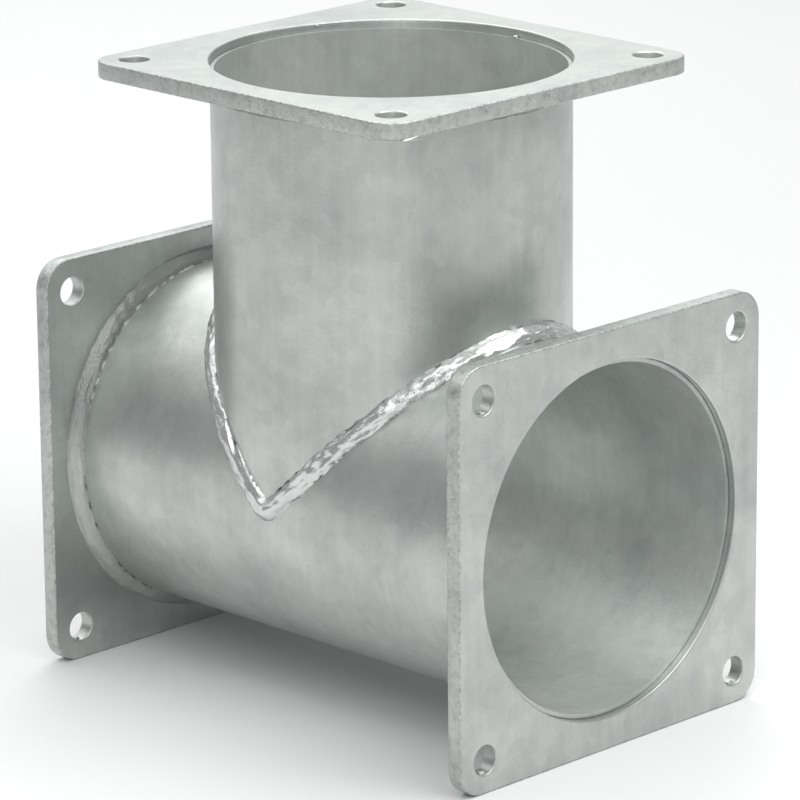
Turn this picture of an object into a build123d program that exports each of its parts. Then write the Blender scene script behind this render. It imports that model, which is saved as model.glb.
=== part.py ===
"""Equal tee of welded steel: two pipes of one diameter and a square flange on each of the three ends.

The two pipes are cut on 45 degree planes where they cross, so the seam is a V on each side, closed by a weld
bead. The flanges slip over the pipe ends and are fillet welded behind, and the whole tee is hot dip galvanised.
Frame: X along the run, +Z up along the branch, and the origin on the ground midway between the two run
flanges, on whose lower edges the tee stands.
"""
import os
from math import sqrt

from build123d import *

# Driving dimensions, in millimetres
PIPE_OUTER_DIAMETER = 168.3
PIPE_WALL = 2.0
RUN_FACE_TO_FACE = 280.0
BRANCH_FACE_HEIGHT = 204.0  # from the run axis to the face of the branch flange
FLANGE_MARGIN = 15.85  # plate beyond the pipe at the middle of each side, which makes it 200 square
FLANGE_THICKNESS = 8.0
FLANGE_CORNER_RADIUS = 14.0
FLANGE_ARRIS = 0.8  # cut edges, broken all round
BOLT_EDGE_DISTANCE = 16.0  # from each side of the plate to the middle of a bolt hole
BOLT_HOLE_DIAMETER = 14.0
BORE_CLEARANCE = 0.25  # flange bore around the pipe, on the radius
PIPE_SETBACK = 4.0  # pipe end behind the flange face
FLANGE_WELD_LEG = 6.0
FLANGE_WELD_CROWN = 0.6  # bulge of the weld face past a straight bevel
SADDLE_WELD_THROAT = 5.0  # from the corner out to the bead's face, where the pipes meet square
SADDLE_WELD_RISE = 3.0  # above the pipes at the sides, where they are tangent
SADDLE_WELD_WIDTH = 11.0

# Sizes that follow from them
pipe_radius = PIPE_OUTER_DIAMETER / 2
pipe_bore_radius = pipe_radius - PIPE_WALL
flange_side = PIPE_OUTER_DIAMETER + 2 * FLANGE_MARGIN
axis_height = flange_side / 2
run_half = RUN_FACE_TO_FACE / 2
bolt_spacing = flange_side - 2 * BOLT_EDGE_DISTANCE
run_pipe_half = run_half - PIPE_SETBACK
branch_pipe_length = BRANCH_FACE_HEIGHT - PIPE_SETBACK

# Planes through the crossing of the two axes: across the run, level, and upright along the run
across_run = Plane(origin=(0, 0, axis_height), x_dir=(0, 1, 0), z_dir=(1, 0, 0))
level = Plane(origin=(0, 0, axis_height), x_dir=(1, 0, 0), z_dir=(0, 0, 1))
along_run = Plane(origin=(0, 0, axis_height), x_dir=(1, 0, 0), z_dir=(0, -1, 0))

# Face of each flange, with the normal pointing out of the tee
flange_faces = {
    "left": Plane(origin=(-run_half, 0, axis_height), x_dir=(0, -1, 0), z_dir=(-1, 0, 0)),
    "right": Plane(origin=(run_half, 0, axis_height), x_dir=(0, 1, 0), z_dir=(1, 0, 0)),
    "branch": Plane(origin=(0, 0, axis_height + BRANCH_FACE_HEIGHT), x_dir=(1, 0, 0), z_dir=(0, 0, 1)),
}


def square_flange(face):
    """Square plate with rounded corners, a bore that slips over the pipe and a bolt hole in each corner."""
    with BuildPart() as plate:
        with BuildSketch(face):
            RectangleRounded(flange_side, flange_side, FLANGE_CORNER_RADIUS)
            Circle(pipe_radius + BORE_CLEARANCE, mode=Mode.SUBTRACT)
            with GridLocations(bolt_spacing, bolt_spacing, 2, 2):
                Circle(BOLT_HOLE_DIAMETER / 2, mode=Mode.SUBTRACT)
        extrude(amount=-FLANGE_THICKNESS)
        sides = plate.faces().sort_by(Axis(face.origin, face.z_dir))
        rim = sides[0].outer_wire().edges() + sides[-1].outer_wire().edges()
        chamfer(rim, FLANGE_ARRIS)
    return plate.part


def flange_weld(face):
    """Crowned fillet weld in the corner between a flange's back and the pipe, all the way round."""
    back = face.offset(-FLANGE_THICKNESS)
    # x of this section runs out from the pipe axis and y runs inward along the pipe
    section = Plane(origin=back.origin, x_dir=face.x_dir, z_dir=face.y_dir)
    flange_toe = (pipe_radius + FLANGE_WELD_LEG, 0)
    pipe_toe = (pipe_radius, FLANGE_WELD_LEG)
    crown = FLANGE_WELD_LEG / 2 + FLANGE_WELD_CROWN / sqrt(2)
    with BuildPart() as ring:
        with BuildSketch(section):
            with BuildLine():
                Line((pipe_radius, 0), flange_toe)
                Polyline(flange_toe, (pipe_radius + crown, crown), pipe_toe)
                Line(pipe_toe, (pipe_radius, 0))
            make_face()
        revolve(axis=Axis(back.origin, face.z_dir))
    return ring.part


# The space that belongs to the branch: above both 45 degree planes through the crossing
branch_reach = BRANCH_FACE_HEIGHT + pipe_radius
with BuildPart() as branch_space:
    with BuildSketch(along_run):
        with BuildLine():
            Polyline((0, 0), (branch_reach, branch_reach), (-branch_reach, branch_reach), close=True)
        make_face()
    extrude(amount=PIPE_OUTER_DIAMETER, both=True)

# Run pipe: a straight tube, notched where the branch sits
with BuildPart() as run_pipe:
    with BuildSketch(across_run):
        Circle(pipe_radius)
        Circle(pipe_bore_radius, mode=Mode.SUBTRACT)
    extrude(amount=run_pipe_half, both=True)
    add(branch_space.part, mode=Mode.SUBTRACT)

# Branch pipe: the same tube, its lower end cut to the two planes
with BuildPart() as branch_pipe:
    with BuildSketch(level):
        Circle(pipe_radius)
        Circle(pipe_bore_radius, mode=Mode.SUBTRACT)
    extrude(amount=branch_pipe_length)
    add(branch_space.part, mode=Mode.INTERSECT)

# Saddle weld: the pipes cross in two leaning half ellipses, so the bead is a slice of a slightly larger
# ellipse, less both pipes. The right half is made first, and the left is its mirror image
right_seam = Plane(origin=level.origin, x_dir=(1, 0, 1), z_dir=(-1, 0, 1))
with BuildPart() as saddle_weld:
    with BuildSketch(right_seam):
        Ellipse(pipe_radius * sqrt(2) + SADDLE_WELD_THROAT, pipe_radius + SADDLE_WELD_RISE)
    extrude(amount=SADDLE_WELD_WIDTH / 2, both=True)
    with BuildSketch(across_run):
        Rectangle(RUN_FACE_TO_FACE, RUN_FACE_TO_FACE)
    extrude(amount=-run_half, mode=Mode.SUBTRACT)
    with BuildSketch(across_run):
        Circle(pipe_radius)
    extrude(amount=run_half, both=True, mode=Mode.SUBTRACT)
    with BuildSketch(level):
        Circle(pipe_radius)
    extrude(amount=BRANCH_FACE_HEIGHT, mode=Mode.SUBTRACT)
    mirror(about=Plane.YZ)

pieces = {"run_pipe": run_pipe.part, "branch_pipe": branch_pipe.part, "saddle_weld": saddle_weld.part}
for end, face in flange_faces.items():
    pieces[f"{end}_flange"] = square_flange(face)
    pieces[f"{end}_flange_weld"] = flange_weld(face)

os.makedirs("parts", exist_ok=True)
for name, piece in pieces.items():
    piece.label = name
    export_step(piece, f"parts/{name}.step")
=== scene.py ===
"""Galvanised steel equal tee: a welded, hot dip galvanised pipe fitting with three square flanges."""
import math

import bmesh
import bpy
from mathutils import Matrix, Vector, noise


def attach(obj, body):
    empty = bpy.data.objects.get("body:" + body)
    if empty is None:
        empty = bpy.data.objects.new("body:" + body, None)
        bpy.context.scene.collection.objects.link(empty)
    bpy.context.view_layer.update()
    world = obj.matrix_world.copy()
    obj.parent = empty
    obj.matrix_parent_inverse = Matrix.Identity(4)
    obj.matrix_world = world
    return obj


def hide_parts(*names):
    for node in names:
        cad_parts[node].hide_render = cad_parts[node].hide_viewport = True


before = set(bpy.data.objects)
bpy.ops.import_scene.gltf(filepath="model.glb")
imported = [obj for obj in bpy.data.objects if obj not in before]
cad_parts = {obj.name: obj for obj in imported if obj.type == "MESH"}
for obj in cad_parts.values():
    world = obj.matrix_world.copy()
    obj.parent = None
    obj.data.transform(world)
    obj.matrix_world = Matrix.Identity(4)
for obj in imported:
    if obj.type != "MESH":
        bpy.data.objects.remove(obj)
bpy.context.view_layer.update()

# Zinc skin, shared by every piece: the tee is dipped whole, so pipes, plates and welds carry one coat.
# It is satin grey with cloudy patches, faint crystal spangle, drain streaks down the dip and a fine grain.


def sockets(group, inputs, outputs):
    """Names a node group's inputs, each with its kind and value, and its outputs; gives both end nodes."""
    for name, kind, value in inputs:
        socket = group.interface.new_socket(name, in_out="INPUT", socket_type="NodeSocket" + kind)
        if value is not None:
            socket.default_value = value
    for name, kind in outputs:
        group.interface.new_socket(name, in_out="OUTPUT", socket_type="NodeSocket" + kind)
    return group.nodes.new("NodeGroupInput"), group.nodes.new("NodeGroupOutput")


def add(tree, kind, values=None, **settings):
    """Adds one node to a tree: its settings first, then the values of its inputs."""
    node = tree.nodes.new(kind)
    for key, value in settings.items():
        setattr(node, key, value)
    for key, value in (values or {}).items():
        node.inputs[key].default_value = value
    return node


def join(tree, *pairs):
    """Links each output to its input."""
    for source, target in pairs:
        tree.links.new(source, target)


zinc = bpy.data.node_groups.new("zinc_skin", "ShaderNodeTree")
z_in, z_out = sockets(zinc, (
    ("Light", "Color", (0.72, 0.745, 0.72, 1)),
    ("Dark", "Color", (0.30, 0.325, 0.32, 1)),
    ("Roughness", "Float", 0.36),
    ("Grain", "Float", 0.12),
), (("Color", "Color"), ("Roughness", "Float"), ("Normal", "Vector")))
z_place = add(zinc, "ShaderNodeTexCoord")
z_cloud = add(zinc, "ShaderNodeTexNoise", {"Scale": 16, "Detail": 5, "Roughness": 0.6})
z_mottle = add(zinc, "ShaderNodeTexNoise", {"Scale": 75, "Detail": 4, "Distortion": 0.6})
z_spangle = add(zinc, "ShaderNodeTexVoronoi", {"Scale": 130})
z_spangle_value = add(zinc, "ShaderNodeSeparateColor")
z_stretch = add(zinc, "ShaderNodeMapping", {"Scale": (260, 260, 14)})
z_streak = add(zinc, "ShaderNodeTexNoise", {"Scale": 1, "Detail": 3})
z_grain = add(zinc, "ShaderNodeTexNoise", {"Scale": 900, "Detail": 3})
z_patch = add(zinc, "ShaderNodeMapRange", {"From Min": 0.34, "From Max": 0.64})
for node in (z_cloud, z_mottle, z_spangle, z_stretch, z_grain):
    zinc.links.new(z_place.outputs["Object"], node.inputs["Vector"])
join(
    zinc,
    (z_stretch.outputs["Vector"], z_streak.inputs["Vector"]),
    (z_spangle.outputs["Color"], z_spangle_value.inputs["Color"]),
    (z_cloud.outputs["Fac"], z_patch.inputs["Value"]),
)
# Patchiness is mostly cloud, with some mottle, spangle, streak and grain over it
z_total = z_patch.outputs["Result"]
for source, share in (
    (z_mottle.outputs["Fac"], 0.45),
    (z_spangle_value.outputs["Red"], 0.16),
    (z_streak.outputs["Fac"], 0.25),
    (z_grain.outputs["Fac"], 0.20),
):
    z_mix = add(zinc, "ShaderNodeMix", {"Factor": share})
    join(zinc, (z_total, z_mix.inputs["A"]), (source, z_mix.inputs["B"]))
    z_total = z_mix.outputs["Result"]
z_colour = add(zinc, "ShaderNodeMix", data_type="RGBA")
# Pale patches are the smoother ones
z_rough = add(zinc, "ShaderNodeMath", {1: -0.16}, operation="MULTIPLY_ADD")
z_rough_up = add(zinc, "ShaderNodeMath", {1: 0.08}, operation="ADD")
z_dent = add(zinc, "ShaderNodeBump", {"Strength": 0.18, "Distance": 0.004})
z_bump = add(zinc, "ShaderNodeBump", {"Distance": 0.0006})
join(
    zinc,
    (z_total, z_colour.inputs["Factor"]),
    (z_in.outputs["Dark"], z_colour.inputs["A"]),
    (z_in.outputs["Light"], z_colour.inputs["B"]),
    (z_colour.outputs["Result"], z_out.inputs["Color"]),
    (z_total, z_rough.inputs[0]),
    (z_in.outputs["Roughness"], z_rough.inputs[2]),
    (z_rough.outputs["Value"], z_rough_up.inputs[0]),
    (z_rough_up.outputs["Value"], z_out.inputs["Roughness"]),
    (z_cloud.outputs["Fac"], z_dent.inputs["Height"]),
    (z_in.outputs["Grain"], z_bump.inputs["Strength"]),
    (z_grain.outputs["Fac"], z_bump.inputs["Height"]),
    (z_dent.outputs["Normal"], z_bump.inputs["Normal"]),
    (z_bump.outputs["Normal"], z_out.inputs["Normal"]),
)

# Pipes: rolled steel tube of one size for run and branch, both cut to 45 degree planes where they meet.
# The coat lies even on it and takes broad soft highlights; inside, where the bath drained last, it is duller.
pipe_radius, pipe_wall, axis_height = 0.08415, 0.002, 0.100
inside_metal, outside_metal = 0.5, 0.8


def zinc_coat(name, metal, skin_values=None):
    """A material of bare zinc skin; gives the material, its tree, its skin and its shader."""
    coat = bpy.data.materials.new(name)
    coat.use_nodes = True
    tree = coat.node_tree
    skin = add(tree, "ShaderNodeGroup", skin_values, node_tree=zinc)
    shader = tree.nodes["Principled BSDF"]
    shader.inputs["Metallic"].default_value = metal
    join(
        tree,
        (skin.outputs["Color"], shader.inputs["Base Color"]),
        (skin.outputs["Roughness"], shader.inputs["Roughness"]),
        (skin.outputs["Normal"], shader.inputs["Normal"]),
    )
    return coat, tree, skin, shader


for node, across in (("run_pipe", (0, 1, 1)), ("branch_pipe", (1, 1, 0))):
    pipe_zinc, pipe_tree, _, pipe_shader = zinc_coat(node + "_zinc", outside_metal)
    # How far a point lies from the pipe's axis tells the inside from the outside
    pipe_place = add(pipe_tree, "ShaderNodeTexCoord")
    pipe_centred = add(pipe_tree, "ShaderNodeVectorMath", {1: (0, 0, axis_height)}, operation="SUBTRACT")
    pipe_across = add(pipe_tree, "ShaderNodeVectorMath", {1: across}, operation="MULTIPLY")
    pipe_out = add(pipe_tree, "ShaderNodeVectorMath", operation="LENGTH")
    pipe_shine = add(pipe_tree, "ShaderNodeMapRange", {
        "From Min": pipe_radius - 0.9 * pipe_wall,
        "From Max": pipe_radius - 0.3 * pipe_wall,
        "To Min": inside_metal,
        "To Max": outside_metal,
    })
    join(
        pipe_tree,
        (pipe_place.outputs["Object"], pipe_centred.inputs[0]),
        (pipe_centred.outputs["Vector"], pipe_across.inputs[0]),
        (pipe_across.outputs["Vector"], pipe_out.inputs[0]),
        (pipe_out.outputs["Value"], pipe_shine.inputs["Value"]),
        (pipe_shine.outputs["Result"], pipe_shader.inputs["Metallic"]),
    )
    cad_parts[node].data.materials.clear()
    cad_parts[node].data.materials.append(pipe_zinc)

# Flanges: square plates cut from flat steel, drilled at the corners and welded to the pipe ends from behind.
# The coat is rougher and more mottled than on the tube, and the zinc rounds the cut edges.
# One plate is drawn as a filled outline with its bore and holes, and stands for the CAD plate at each end.
plate_zinc = zinc_coat("plate_zinc", 0.85, {"Roughness": 0.40, "Grain": 0.2})[0]

pitted = bpy.data.node_groups.new("pitted_edge", "ShaderNodeTree")
e_in, e_out = sockets(pitted, (
    ("Color", "Color", (0.5, 0.5, 0.5, 1)),
    ("Normal", "Vector", (0, 0, 0)),
    ("Pit Scale", "Float", 260),
    ("Pit Low", "Float", 0.30),
    ("Pit High", "Float", 0.52),
    ("Pit Tone", "Float", 0.66),
    ("Clear Tone", "Float", 1.0),
), (("Color", "Color"), ("Normal", "Vector")))
e_place = add(pitted, "ShaderNodeTexCoord")
e_pits = add(pitted, "ShaderNodeTexNoise", {"Detail": 4, "Roughness": 0.7})
e_tone = add(pitted, "ShaderNodeMapRange")
e_blend = add(pitted, "ShaderNodeMix", {"Factor": 1.0}, data_type="RGBA", blend_type="MULTIPLY")
e_bump = add(pitted, "ShaderNodeBump", {"Strength": 0.35, "Distance": 0.0008})
join(
    pitted,
    (e_place.outputs["Object"], e_pits.inputs["Vector"]),
    (e_in.outputs["Pit Scale"], e_pits.inputs["Scale"]),
    (e_pits.outputs["Fac"], e_tone.inputs["Value"]),
    (e_in.outputs["Pit Low"], e_tone.inputs["From Min"]),
    (e_in.outputs["Pit High"], e_tone.inputs["From Max"]),
    (e_in.outputs["Pit Tone"], e_tone.inputs["To Min"]),
    (e_in.outputs["Clear Tone"], e_tone.inputs["To Max"]),
    (e_in.outputs["Color"], e_blend.inputs["A"]),
    (e_tone.outputs["Result"], e_blend.inputs["B"]),
    (e_blend.outputs["Result"], e_out.inputs["Color"]),
    (e_pits.outputs["Fac"], e_bump.inputs["Height"]),
    (e_in.outputs["Normal"], e_bump.inputs["Normal"]),
    (e_bump.outputs["Normal"], e_out.inputs["Normal"]),
)

# The cut edge is evenly pitted; the arris, where the coat is thinnest, is speckled with dark pits, and between
# the pits its colour is lightened as a painted highlight
rim_coats = []
for name, pits in (
    ("edge_zinc", {}),
    ("arris_zinc", {
        # A Clear Tone above 1 lightens the arris between its pits: a painted highlight.
        "Pit Scale": 480, "Pit Low": 0.36, "Pit High": 0.62, "Pit Tone": 0.60, "Clear Tone": 1.12,
    }),
):
    rim_zinc, rim_tree, rim_skin, rim_shader = zinc_coat(name, 0.75, {"Roughness": 0.42, "Grain": 0.5})
    rim_pits = add(rim_tree, "ShaderNodeGroup", pits, node_tree=pitted)
    join(
        rim_tree,
        (rim_skin.outputs["Color"], rim_pits.inputs["Color"]),
        (rim_skin.outputs["Normal"], rim_pits.inputs["Normal"]),
        (rim_pits.outputs["Color"], rim_shader.inputs["Base Color"]),
        (rim_pits.outputs["Normal"], rim_shader.inputs["Normal"]),
    )
    rim_coats.append(rim_zinc)

plate_half, plate_corner, plate_thickness, plate_arris = 0.100, 0.014, 0.008, 0.0008
corner_steps = 16
bore_radius, bore_sides = 0.0844, 180
hole_offset, hole_radius, hole_sides = 0.084, 0.007, 40
run_plate_middle, branch_plate_middle = 0.136, 0.3
straight = plate_half - plate_corner
plate_outline = []
for quarter in range(4):
    across = straight if quarter in (0, 3) else -straight
    upward = straight if quarter in (0, 1) else -straight
    for step in range(corner_steps + 1):
        angle = math.pi / 2 * (quarter + step / corner_steps)
        plate_outline.append((across + plate_corner * math.cos(angle), upward + plate_corner * math.sin(angle)))
plate_loops = [plate_outline]
for across, upward, radius, sides in (
    (0, 0, bore_radius, bore_sides),
    (hole_offset, hole_offset, hole_radius, hole_sides),
    (-hole_offset, hole_offset, hole_radius, hole_sides),
    (hole_offset, -hole_offset, hole_radius, hole_sides),
    (-hole_offset, -hole_offset, hole_radius, hole_sides),
):
    turn = [-math.tau * step / sides for step in range(sides)]
    plate_loops.append([
        (across + radius * math.cos(angle), upward + radius * math.sin(angle)) for angle in turn
    ])
plate_curve = bpy.data.curves.new("plate_outline", "CURVE")
plate_curve.dimensions = "2D"
plate_curve.fill_mode = "BOTH"
plate_curve.extrude = plate_thickness / 2 - plate_arris
plate_curve.bevel_depth = plate_arris
plate_curve.bevel_resolution = 3
plate_curve.offset = -plate_arris
for loop in plate_loops:
    spline = plate_curve.splines.new("POLY")
    spline.points.add(len(loop) - 1)
    for point, place in zip(spline.points, loop):
        point.co = (*place, 0, 1)
    spline.use_cyclic_u = True
plate_drawing = bpy.data.objects.new("plate_outline", plate_curve)
bpy.context.collection.objects.link(plate_drawing)
depsgraph = bpy.context.evaluated_depsgraph_get()
plate_shape = bpy.data.meshes.new_from_object(plate_drawing.evaluated_get(depsgraph))
bpy.data.objects.remove(plate_drawing)
plate_shape.materials.clear()
for coat in (plate_zinc, *rim_coats):
    plate_shape.materials.append(coat)
edge_slot, arris_slot = 1, 2
for face in plate_shape.polygons:
    past_straight = [max(abs(reach) - straight, 0) for reach in face.center[:2]]
    if Vector(past_straight).length > plate_corner - plate_arris:
        on_arris = abs(face.center.z) > plate_thickness / 2 - plate_arris
        face.material_index = arris_slot if on_arris else edge_slot
for name, centre, turn in (
    ("left_plate", (-run_plate_middle, 0, axis_height), Matrix.Rotation(-math.pi / 2, 4, "Y")),
    ("right_plate", (run_plate_middle, 0, axis_height), Matrix.Rotation(math.pi / 2, 4, "Y")),
    ("branch_plate", (0, 0, branch_plate_middle), Matrix.Identity(4)),
):
    shape = plate_shape.copy()
    shape.transform(Matrix.Translation(centre) @ turn)
    plate = bpy.data.objects.new(name, shape)
    bpy.context.collection.objects.link(plate)
    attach(plate, "root")
    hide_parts(name.replace("plate", "flange"))
bpy.data.meshes.remove(plate_shape)

# Welds: hand laid beads of steel, rippled and lumpy, which keep a brighter coat than the smooth tube.
# Each is a round bead swept along its seam; what lies deep in the steel is cut away and the back closed.
toe_dark = (0.06, 0.06, 0.055, 1)
toe_line = bpy.data.node_groups.new("weld_toe", "ShaderNodeTree")
t_in, t_out = sockets(toe_line, (
    ("Color", "Color", (0.5, 0.5, 0.5, 1)),
    ("Toe", "Float", 0.0),
    ("Pit Color", "Color", toe_dark),
    ("High Pits And Highlight Color", "Color", toe_dark),
    ("Height", "Float", 0.0),
), (("Color", "Color"),))
# High up, the toe line takes the high colour: the same dark pits on the saddle bead, a painted highlight on the
# flange beads.
t_place = add(toe_line, "ShaderNodeTexCoord")
t_dash = add(toe_line, "ShaderNodeTexNoise", {"Scale": 190, "Detail": 3})
t_pits = add(toe_line, "ShaderNodeMapRange", {"From Min": 0.50, "From Max": 0.58})
t_line = add(toe_line, "ShaderNodeMath", operation="MULTIPLY")
t_mark = add(toe_line, "ShaderNodeMix", data_type="RGBA")
t_blend = add(toe_line, "ShaderNodeMix", data_type="RGBA")
join(
    toe_line,
    (t_place.outputs["Object"], t_dash.inputs["Vector"]),
    (t_dash.outputs["Fac"], t_pits.inputs["Value"]),
    (t_pits.outputs["Result"], t_line.inputs[0]),
    (t_in.outputs["Toe"], t_line.inputs[1]),
    (t_in.outputs["Height"], t_mark.inputs["Factor"]),
    (t_in.outputs["Pit Color"], t_mark.inputs["A"]),
    (t_in.outputs["High Pits And Highlight Color"], t_mark.inputs["B"]),
    (t_line.outputs["Value"], t_blend.inputs["Factor"]),
    (t_in.outputs["Color"], t_blend.inputs["A"]),
    (t_mark.outputs["Result"], t_blend.inputs["B"]),
    (t_blend.outputs["Result"], t_out.inputs["Color"]),
)

# Two coats: bright and fluid on the saddle bead; grainy on the flange beads.
# High up, the flange beads are coloured darker towards the top, and their toe is a bright line, a painted
# highlight, instead of dark pits.
weld_rise = 0.028
weld_coats = {}
for name, light, dark, roughness, grain, high_tone, high_toe_pits_and_highlight in (
    ("weld_zinc", (0.80, 0.81, 0.80, 1), (0.55, 0.57, 0.56, 1), 0.26, 0.25, 1.0, toe_dark),
    # The flange beads' pale high toe colour is a painted highlight.
    ("bevel_zinc", (0.62, 0.64, 0.62, 1), (0.34, 0.36, 0.35, 1), 0.40, 0.55, 0.62, (0.92, 0.94, 0.92, 1)),
):
    weld_zinc, weld_tree, weld_skin, weld_shader = zinc_coat(
        name, 0.85, {"Light": light, "Dark": dark, "Roughness": roughness, "Grain": grain}
    )
    weld_toe = add(weld_tree, "ShaderNodeAttribute", attribute_name="toe")
    weld_pits = add(weld_tree, "ShaderNodeGroup", {"High Pits And Highlight Color": high_toe_pits_and_highlight}, node_tree=toe_line)
    weld_place = add(weld_tree, "ShaderNodeTexCoord")
    weld_height = add(weld_tree, "ShaderNodeSeparateXYZ")
    weld_high = add(weld_tree, "ShaderNodeMapRange", {
        "From Min": axis_height, "From Max": axis_height + weld_rise,
    })
    # Higher up, the bead's colour is multiplied down to high_tone, so it is darker towards the top.
    weld_darker_high = add(weld_tree, "ShaderNodeMapRange", {"To Min": 1.0, "To Max": high_tone})
    weld_tone = add(weld_tree, "ShaderNodeMix", {"Factor": 1.0}, data_type="RGBA", blend_type="MULTIPLY")
    join(
        weld_tree,
        (weld_place.outputs["Object"], weld_height.inputs["Vector"]),
        (weld_height.outputs["Z"], weld_high.inputs["Value"]),
        (weld_high.outputs["Result"], weld_darker_high.inputs["Value"]),
        (weld_skin.outputs["Color"], weld_tone.inputs["A"]),
        (weld_darker_high.outputs["Result"], weld_tone.inputs["B"]),
        (weld_tone.outputs["Result"], weld_pits.inputs["Color"]),
        (weld_toe.outputs["Fac"], weld_pits.inputs["Toe"]),
        (weld_high.outputs["Result"], weld_pits.inputs["Height"]),
        (weld_pits.outputs["Color"], weld_shader.inputs["Base Color"]),
    )
    weld_coats[name] = weld_zinc

run_back, branch_back = 0.132, 0.296
bead = bpy.data.node_groups.new("weld_bead", "GeometryNodeTree")
b_in, b_out = sockets(bead, (
    ("Geometry", "Geometry", None),
    ("Bead Radius", "Float", 0.006),
    ("Step", "Float", 0.0007),
    ("Sides", "Int", 48),
    ("Ripple Pitch", "Float", 0.008),
    ("Ripple Height", "Float", 0.0003),
    ("Lump Length", "Float", 75.0),
    ("Lump Turn", "Float", 2.4),
    ("Lump Height", "Float", 0.0016),
    ("Fine Height", "Float", 0.0005),
    ("Pipe Radius", "Float", pipe_radius),
    ("Axis Height", "Float", axis_height),
    ("Run Back", "Float", run_back),
    ("Branch Back", "Float", branch_back),
    ("Depth", "Float", 0.0012),
    ("Seed", "Float", 1.0),
    ("Material", "Material", None),
), (("Geometry", "Geometry"),))


def bead_math(operation, *terms):
    """One math node of the bead's tree; each term is a number or an output socket."""
    node = add(bead, "ShaderNodeMath", operation=operation)
    for place, term in enumerate(terms):
        if isinstance(term, (int, float)):
            node.inputs[place].default_value = term
        else:
            bead.links.new(term, node.inputs[place])
    return node.outputs["Value"]


b_resample = add(bead, "GeometryNodeResampleCurve", mode="LENGTH")
b_along = add(bead, "GeometryNodeSplineParameter")
b_keep = add(bead, "GeometryNodeCaptureAttribute")
b_keep.capture_items.new("FLOAT", "Along")
b_ring = add(bead, "GeometryNodeCurvePrimitiveCircle")
b_round = add(bead, "GeometryNodeCaptureAttribute")
b_round.capture_items.new("FLOAT", "Around")
b_sweep = add(bead, "GeometryNodeCurveToMesh")
join(
    bead,
    (b_in.outputs["Geometry"], b_resample.inputs["Curve"]),
    (b_in.outputs["Step"], b_resample.inputs["Length"]),
    (b_resample.outputs["Curve"], b_keep.inputs["Geometry"]),
    (b_along.outputs["Length"], b_keep.inputs["Along"]),
    (b_in.outputs["Sides"], b_ring.inputs["Resolution"]),
    (b_in.outputs["Bead Radius"], b_ring.inputs["Radius"]),
    (b_ring.outputs["Curve"], b_round.inputs["Geometry"]),
    (b_along.outputs["Factor"], b_round.inputs["Around"]),
    (b_keep.outputs["Geometry"], b_sweep.inputs["Curve"]),
    (b_round.outputs["Geometry"], b_sweep.inputs["Profile Curve"]),
)
b_angle = bead_math("MULTIPLY", b_round.outputs["Around"], math.tau)


def bead_noise(length, turn, detail):
    """Noise stretched along the bead: length sets how fast it changes along, turn how fast around."""
    where = add(bead, "ShaderNodeCombineXYZ")
    rough = add(bead, "ShaderNodeTexNoise", noise_dimensions="4D")
    rough.inputs["Scale"].default_value = 1
    rough.inputs["Detail"].default_value = detail
    join(
        bead,
        (bead_math("MULTIPLY", b_keep.outputs["Along"], length), where.inputs["X"]),
        (bead_math("MULTIPLY", bead_math("COSINE", b_angle), turn), where.inputs["Y"]),
        (bead_math("MULTIPLY", bead_math("SINE", b_angle), turn), where.inputs["Z"]),
        (where.outputs["Vector"], rough.inputs["Vector"]),
        (b_in.outputs["Seed"], rough.inputs["W"]),
    )
    return rough.outputs["Fac"]


def bead_swell(source, height):
    """Noise about its middle value, times a height."""
    return bead_math("MULTIPLY", bead_math("SUBTRACT", source, 0.5), height)


# Lumps are drawn out along the bead as the metal flowed, and ripples come in patches where the arc dwelt
ripple_wander = 12
b_lump = bead_noise(b_in.outputs["Lump Length"], b_in.outputs["Lump Turn"], detail=2)
b_fine = bead_noise(length=190, turn=9, detail=3)
b_patch = bead_noise(length=26, turn=0.3, detail=0)
b_lumps = bead_math(
    "ADD",
    bead_swell(b_lump, bead_math("MULTIPLY", b_in.outputs["Lump Height"], 2)),
    bead_swell(b_fine, b_in.outputs["Fine Height"]),
)
b_count = bead_math("DIVIDE", b_keep.outputs["Along"], b_in.outputs["Ripple Pitch"])
b_wander = bead_math("MULTIPLY", b_lump, ripple_wander)
b_phase = bead_math("ADD", bead_math("MULTIPLY", b_count, math.tau), b_wander)
b_dwell = add(bead, "ShaderNodeMapRange", {"From Min": 0.46, "From Max": 0.62})
b_ripple = bead_math("MULTIPLY", bead_math("SINE", b_phase), b_in.outputs["Ripple Height"])
b_ripple = bead_math("MULTIPLY", b_ripple, b_dwell.outputs["Result"])
b_normal = add(bead, "GeometryNodeInputNormal")
b_push = add(bead, "ShaderNodeVectorMath", operation="SCALE")
b_move = add(bead, "GeometryNodeSetPosition")
join(
    bead,
    (b_patch, b_dwell.inputs["Value"]),
    (b_normal.outputs["Normal"], b_push.inputs["Vector"]),
    (bead_math("ADD", b_lumps, b_ripple), b_push.inputs["Scale"]),
    (b_sweep.outputs["Mesh"], b_move.inputs["Geometry"]),
    (b_push.outputs["Vector"], b_move.inputs["Offset"]),
)


def bead_length(*sides):
    """Length of a line from its two sides at a right angle."""
    return bead_math("SQRT", bead_math("ADD", *[bead_math("POWER", side, 2) for side in sides]))


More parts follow.
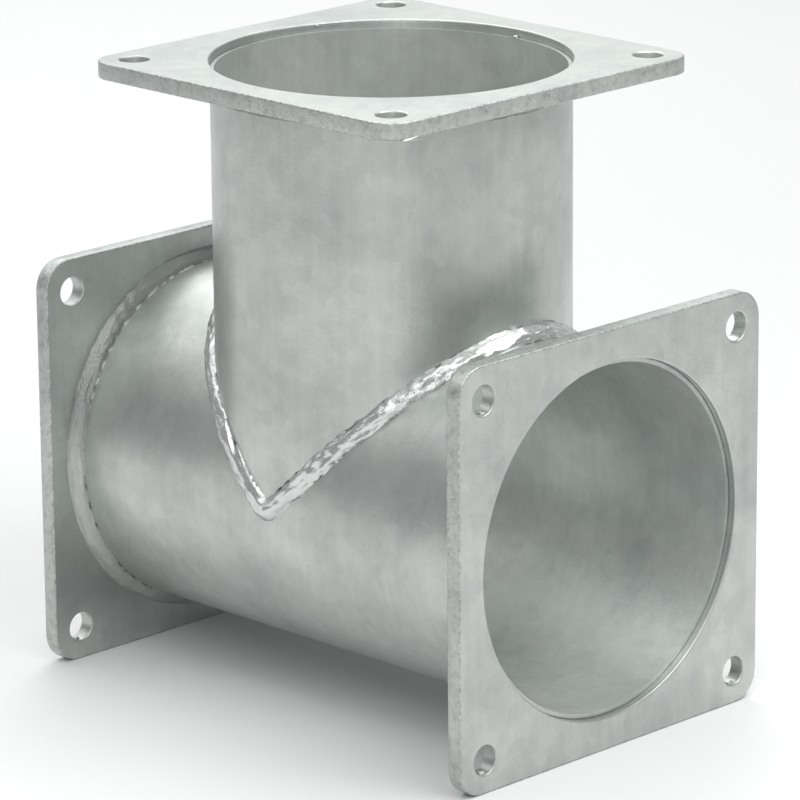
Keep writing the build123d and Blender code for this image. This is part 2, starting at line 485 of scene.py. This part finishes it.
# What lies deeper in the steel than Depth goes: run pipe, branch pipe, run flanges, branch flange
b_place = add(bead, "GeometryNodeInputPosition")
b_xyz = add(bead, "ShaderNodeSeparateXYZ")
bead.links.new(b_place.outputs["Position"], b_xyz.inputs["Vector"])
b_x, b_y, b_z = (b_xyz.outputs[axis] for axis in "XYZ")
b_rise = bead_math("SUBTRACT", b_z, b_in.outputs["Axis Height"])
b_limit = bead_math("SUBTRACT", b_in.outputs["Pipe Radius"], b_in.outputs["Depth"])
b_from_run = bead_length(b_y, b_rise)
b_from_branch = bead_length(b_x, b_y)
b_in_run = bead_math("LESS_THAN", b_from_run, b_limit)
b_above_axis = bead_math("GREATER_THAN", b_rise, 0)
b_in_branch = bead_math("MULTIPLY", bead_math("LESS_THAN", b_from_branch, b_limit), b_above_axis)
b_run_end = bead_math("ADD", b_in.outputs["Run Back"], b_in.outputs["Depth"])
b_past_run = bead_math("GREATER_THAN", bead_math("ABSOLUTE", b_x), b_run_end)
b_branch_end = bead_math("ADD", b_in.outputs["Branch Back"], b_in.outputs["Depth"])
b_past_branch = bead_math("GREATER_THAN", b_z, b_branch_end)
b_in_pipes = bead_math("MAXIMUM", b_in_run, b_in_branch)
b_in_plates = bead_math("MAXIMUM", b_past_run, b_past_branch)
b_hidden = bead_math("MAXIMUM", b_in_pipes, b_in_plates)
# Where the bead runs out on the pipe is its toe, which the coat marks with a broken line of dark pits; high on
# the flange beads that line is a painted highlight instead
b_run_gap = bead_math("ABSOLUTE", bead_math("SUBTRACT", b_from_run, b_in.outputs["Pipe Radius"]))
b_branch_gap = bead_math("ABSOLUTE", bead_math("SUBTRACT", b_from_branch, b_in.outputs["Pipe Radius"]))
b_toe = add(bead, "ShaderNodeMapRange", {
    "From Min": 0.0002, "From Max": 0.0009, "To Min": 1.0, "To Max": 0.0,
})
b_mark = add(bead, "GeometryNodeStoreNamedAttribute", {"Name": "toe"})
b_cut = add(bead, "GeometryNodeDeleteGeometry")
b_smooth = add(bead, "GeometryNodeSetShadeSmooth")
b_real = add(bead, "GeometryNodeRealizeInstances")
b_paint = add(bead, "GeometryNodeSetMaterial")
join(
    bead,
    (bead_math("MINIMUM", b_run_gap, b_branch_gap), b_toe.inputs["Value"]),
    (b_move.outputs["Geometry"], b_mark.inputs["Geometry"]),
    (b_toe.outputs["Result"], b_mark.inputs["Value"]),
    (b_mark.outputs["Geometry"], b_cut.inputs["Geometry"]),
    (b_hidden, b_cut.inputs["Selection"]),
    (b_cut.outputs["Geometry"], b_smooth.inputs["Geometry"]),
    (b_smooth.outputs["Geometry"], b_real.inputs["Geometry"]),
    (b_real.outputs["Geometry"], b_paint.inputs["Geometry"]),
    (b_in.outputs["Material"], b_paint.inputs["Material"]),
    (b_paint.outputs["Geometry"], b_out.inputs["Geometry"]),
)


def weld(name, node, path, widths, settings):
    """Lays one bead along a closed path of points, each with its width, and lets it stand for a CAD node."""
    curve = bpy.data.curves.new(name + "_path", "CURVE")
    curve.dimensions = "3D"
    spline = curve.splines.new("POLY")
    spline.points.add(len(path) - 1)
    for point, place, width in zip(spline.points, path, widths):
        point.co = (*place, 1)
        point.radius = width
    spline.use_cyclic_u = True
    route = bpy.data.objects.new(name + "_path", curve)
    bpy.context.collection.objects.link(route)
    modifier = route.modifiers.new("bead", "NODES")
    modifier.node_group = bead
    names = {item.name: item.identifier for item in bead.interface.items_tree if item.in_out == "INPUT"}
    for key, value in settings.items():
        modifier[names[key]] = value
    shape = bpy.data.meshes.new_from_object(route.evaluated_get(bpy.context.evaluated_depsgraph_get()))
    bpy.data.objects.remove(route)
    form = bmesh.new()
    form.from_mesh(shape)
    bmesh.ops.bridge_loops(form, edges=[edge for edge in form.edges if edge.is_boundary])
    bmesh.ops.recalc_face_normals(form, faces=form.faces)
    form.to_mesh(shape)
    form.free()
    piece = bpy.data.objects.new(name, shape)
    bpy.context.collection.objects.link(piece)
    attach(piece, "root")
    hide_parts(node)


# Saddle bead: down one side of the branch to the point of the V and up the other, on both sides of the tee.
# The metal gathered in a drop at each point, and in three lumps on the right hand arm where the arc paused.
# Each lump has its place along the arm in degrees, its span in degrees and its share of the bead's radius.
seam_side, seam_reach, point_lift = 0.08015, pipe_radius, 0.004
point_drop, point_span = 0.6, 0.008
arm_lumps = ((28, 11, 0.22), (88, 3.0, 0.38), (98.5, 2.6, 0.34))
arm_steps = 240
saddle_path = []
saddle_widths = []
for step in range(2 * arm_steps):
    lean = 1 if step < arm_steps else -1
    angle = math.pi * (step % arm_steps) / arm_steps
    side = -math.cos(angle) if lean > 0 else math.cos(angle)
    reach = math.sin(angle) * seam_reach
    saddle_path.append((lean * reach, side * seam_side, axis_height + math.hypot(reach, point_lift)))
    swelling = point_drop * math.exp(-((reach / point_span) ** 2))
    if lean > 0:
        for lump_at, lump_span, lump_size in arm_lumps:
            swelling += lump_size * math.exp(-(((math.degrees(angle) - lump_at) / lump_span) ** 2))
    saddle_widths.append(1.0 + swelling)
weld("saddle_bead", "saddle_weld", saddle_path, saddle_widths, {
    "Bead Radius": 0.0068, "Lump Height": 0.0021, "Ripple Height": 0.0002, "Fine Height": 0.0013,
    "Material": weld_coats["weld_zinc"],
})

# Flange beads: one ring behind each plate, all the way round the pipe.
# Each is a flatter, more even bevel in the corner between plate and tube.
bevel_sink, bevel_radius = 0.004, 0.01077
ring_steps = 360
for end, centre, inward, across, upward, seed in (
    ("left", (-run_back, 0, axis_height), (1, 0, 0), (0, 1, 0), (0, 0, 1), 3.0),
    ("right", (run_back, 0, axis_height), (-1, 0, 0), (0, 1, 0), (0, 0, 1), 5.0),
    ("branch", (0, 0, branch_back), (0, 0, -1), (1, 0, 0), (0, 1, 0), 8.0),
):
    ring_path = []
    for step in range(ring_steps):
        angle = math.tau * step / ring_steps
        spoke = Vector(across) * math.cos(angle) + Vector(upward) * math.sin(angle)
        ring_path.append(Vector(centre) - Vector(inward) * bevel_sink + spoke * (pipe_radius - bevel_sink))
    weld(end + "_flange_bead", end + "_flange_weld", ring_path, [1.0] * ring_steps, {
        "Bead Radius": bevel_radius, "Sides": 96, "Lump Turn": 4.0, "Lump Length": 70.0, "Lump Height": 0.0008,
        "Ripple Height": 0.0001, "Fine Height": 0.0006, "Seed": seed, "Material": weld_coats["bevel_zinc"],
    })

# Drips: beads of zinc left hanging where the coat froze as it drained, on rims, corners and in bolt holes.
# Each is a lopsided drop sunk in the steel that it hangs from.
drip_swell, drip_swell_scale, drip_seed_gap, drip_sag = 0.22, 1.4, 7.3, 0.25
drip_mesh = bpy.data.meshes.new("zinc_drips")
drip_form = bmesh.new()
for place, spread, seed in (
    ((-0.0792, 0.0290, 0.3030), (0.0011, 0.0011, 0.0009), 1),
    ((0.0003, 0.0830, 0.3005), (0.0013, 0.0013, 0.0011), 2),
    ((0.0982, -0.0850, 0.2962), (0.0024, 0.0072, 0.0013), 3),
    ((0.1365, -0.0820, 0.1775), (0.0022, 0.0020, 0.0012), 6),
    ((0.1365, -0.0832, 0.0096), (0.0022, 0.0022, 0.0013), 7),
    ((0.1365, 0.0850, 0.0095), (0.0020, 0.0020, 0.0010), 8),
    ((-0.1365, -0.0845, 0.0096), (0.0022, 0.0020, 0.0012), 9),
):
    drop = bmesh.ops.create_icosphere(drip_form, subdivisions=4, radius=1.0)
    for vert in drop["verts"]:
        uneven = noise.noise(vert.co * drip_swell_scale + Vector((seed * drip_seed_gap, 0, 0)))
        swell = 1.0 + drip_swell * uneven
        sag = 1.0 - drip_sag * vert.co.z
        vert.co = Vector(place) + Vector([reach * spot * swell * sag for reach, spot in zip(spread, vert.co)])
for face in drip_form.faces:
    face.smooth = True
drip_form.to_mesh(drip_mesh)
drip_form.free()
drip_mesh.materials.append(plate_zinc)
drips = bpy.data.objects.new("zinc_drips", drip_mesh)
bpy.context.collection.objects.link(drips)
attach(drips, "root")

# Floor and studio: a pale matt floor under soft lamps, some of them turned on the floor that the metal mirrors.
# The room is mid grey, a little paler overhead and behind, so that the zinc keeps its darker bands.
floor_reach = 6
floor_mesh = bpy.data.meshes.new("floor")
floor_mesh.from_pydata(
    [(floor_reach * x, floor_reach * y, 0) for x, y in ((-1, -1), (1, -1), (1, 1), (-1, 1))], [], [(0, 1, 2, 3)]
)
floor = bpy.data.objects.new("floor", floor_mesh)
bpy.context.collection.objects.link(floor)
floor_paint = bpy.data.materials.new("floor_paint")
floor_paint.use_nodes = True
floor_shader = floor_paint.node_tree.nodes["Principled BSDF"]
floor_shader.inputs["Base Color"].default_value = (0.80, 0.80, 0.80, 1)
floor_shader.inputs["Roughness"].default_value = 0.9
floor_mesh.materials.append(floor_paint)

room_level, room_colour = 0.28, (0.97, 1.0, 0.99, 1)
world = bpy.data.worlds.new("studio")
bpy.context.scene.world = world
world.use_nodes = True
studio = world.node_tree
s_way = add(studio, "ShaderNodeTexCoord")
s_level = None
for way, low, high, gain in (
    ((-0.70, 0.70, 0.12), 0.35, 0.95, 0.35),
    ((0.0, 0.0, 1.0), 0.50, 0.95, 0.12),
):
    s_side = add(studio, "ShaderNodeVectorMath", {1: way}, operation="DOT_PRODUCT")
    s_range = add(studio, "ShaderNodeMapRange", {
        "From Min": low, "From Max": high, "To Max": gain,
    }, interpolation_type="SMOOTHSTEP")
    s_sum = add(studio, "ShaderNodeMath", {1: room_level}, operation="ADD")
    join(
        studio,
        (s_way.outputs["Generated"], s_side.inputs[0]),
        (s_side.outputs["Value"], s_range.inputs["Value"]),
        (s_range.outputs["Result"], s_sum.inputs[0]),
    )
    if s_level is not None:
        studio.links.new(s_level, s_sum.inputs[1])
    s_level = s_sum.outputs["Value"]
room = studio.nodes["Background"]
room.inputs["Color"].default_value = room_colour
studio.links.new(s_level, room.inputs["Strength"])

for name, place, aim, size, power in (
    ("overhead", (-0.35, 0.0, 1.7), (-0.2, 0, 0), 2.2, 8.5),
    ("left_box", (-1.35, -0.05, 1.6), (0, 0, 0.1), 2.3, 13),
    ("right_box", (1.4, -0.15, 1.65), (0.3, 0.1, 0), 1.4, 12.5),
    ("back_floor", (-1.3, 1.3, 1.8), (-1.3, 1.3, 0), 1.2, 16),
    ("right_floor", (0.36, 0.12, 0.6), (0.28, 0.08, 0), 0.4, 1.5),
    ("front_top", (0.5, -1.5, 1.8), (0.15, -0.35, 0), 1.6, 12),
    ("front_box", (1.6, -2.1, 0.75), (0, 0, 0.2), 0.9, 6),
):
    lamp = bpy.data.lights.new(name, "AREA")
    lamp.size = size
    lamp.energy = power
    stand = bpy.data.objects.new(name, lamp)
    stand.location = place
    stand.rotation_euler = (Vector(aim) - Vector(place)).to_track_quat("-Z", "Y").to_euler()
    bpy.context.collection.objects.link(stand)

# Camera: above and to the front right, a long lens about two and a half metres away.
# Its angles and place are a fit to the outlines of the flanges, bores and holes.
azimuth, elevation, roll = math.radians(45.035), math.radians(16.157), math.radians(-0.508)
camera_place = (1.6366, -1.6308, 0.8081)
sensor_width, focal_pixels, frame_pixels = 36, 5102, 800
level = math.cos(elevation)
toward = Vector((math.sin(azimuth) * level, -math.cos(azimuth) * level, math.sin(elevation)))
sideways = Vector((math.cos(azimuth), math.sin(azimuth), 0))
upright = toward.cross(sideways)
image_x = math.cos(roll) * sideways + math.sin(roll) * upright
image_y = -math.sin(roll) * sideways + math.cos(roll) * upright
lens = bpy.data.cameras.new("camera")
lens.sensor_width = sensor_width
lens.lens = focal_pixels * sensor_width / frame_pixels
camera = bpy.data.objects.new("camera", lens)
camera_turn = Matrix((image_x, image_y, toward)).transposed().to_4x4()
camera.matrix_world = Matrix.Translation(camera_place) @ camera_turn
bpy.context.collection.objects.link(camera)
bpy.context.scene.camera = camera
bpy.context.scene.view_settings.view_transform = "Standard"
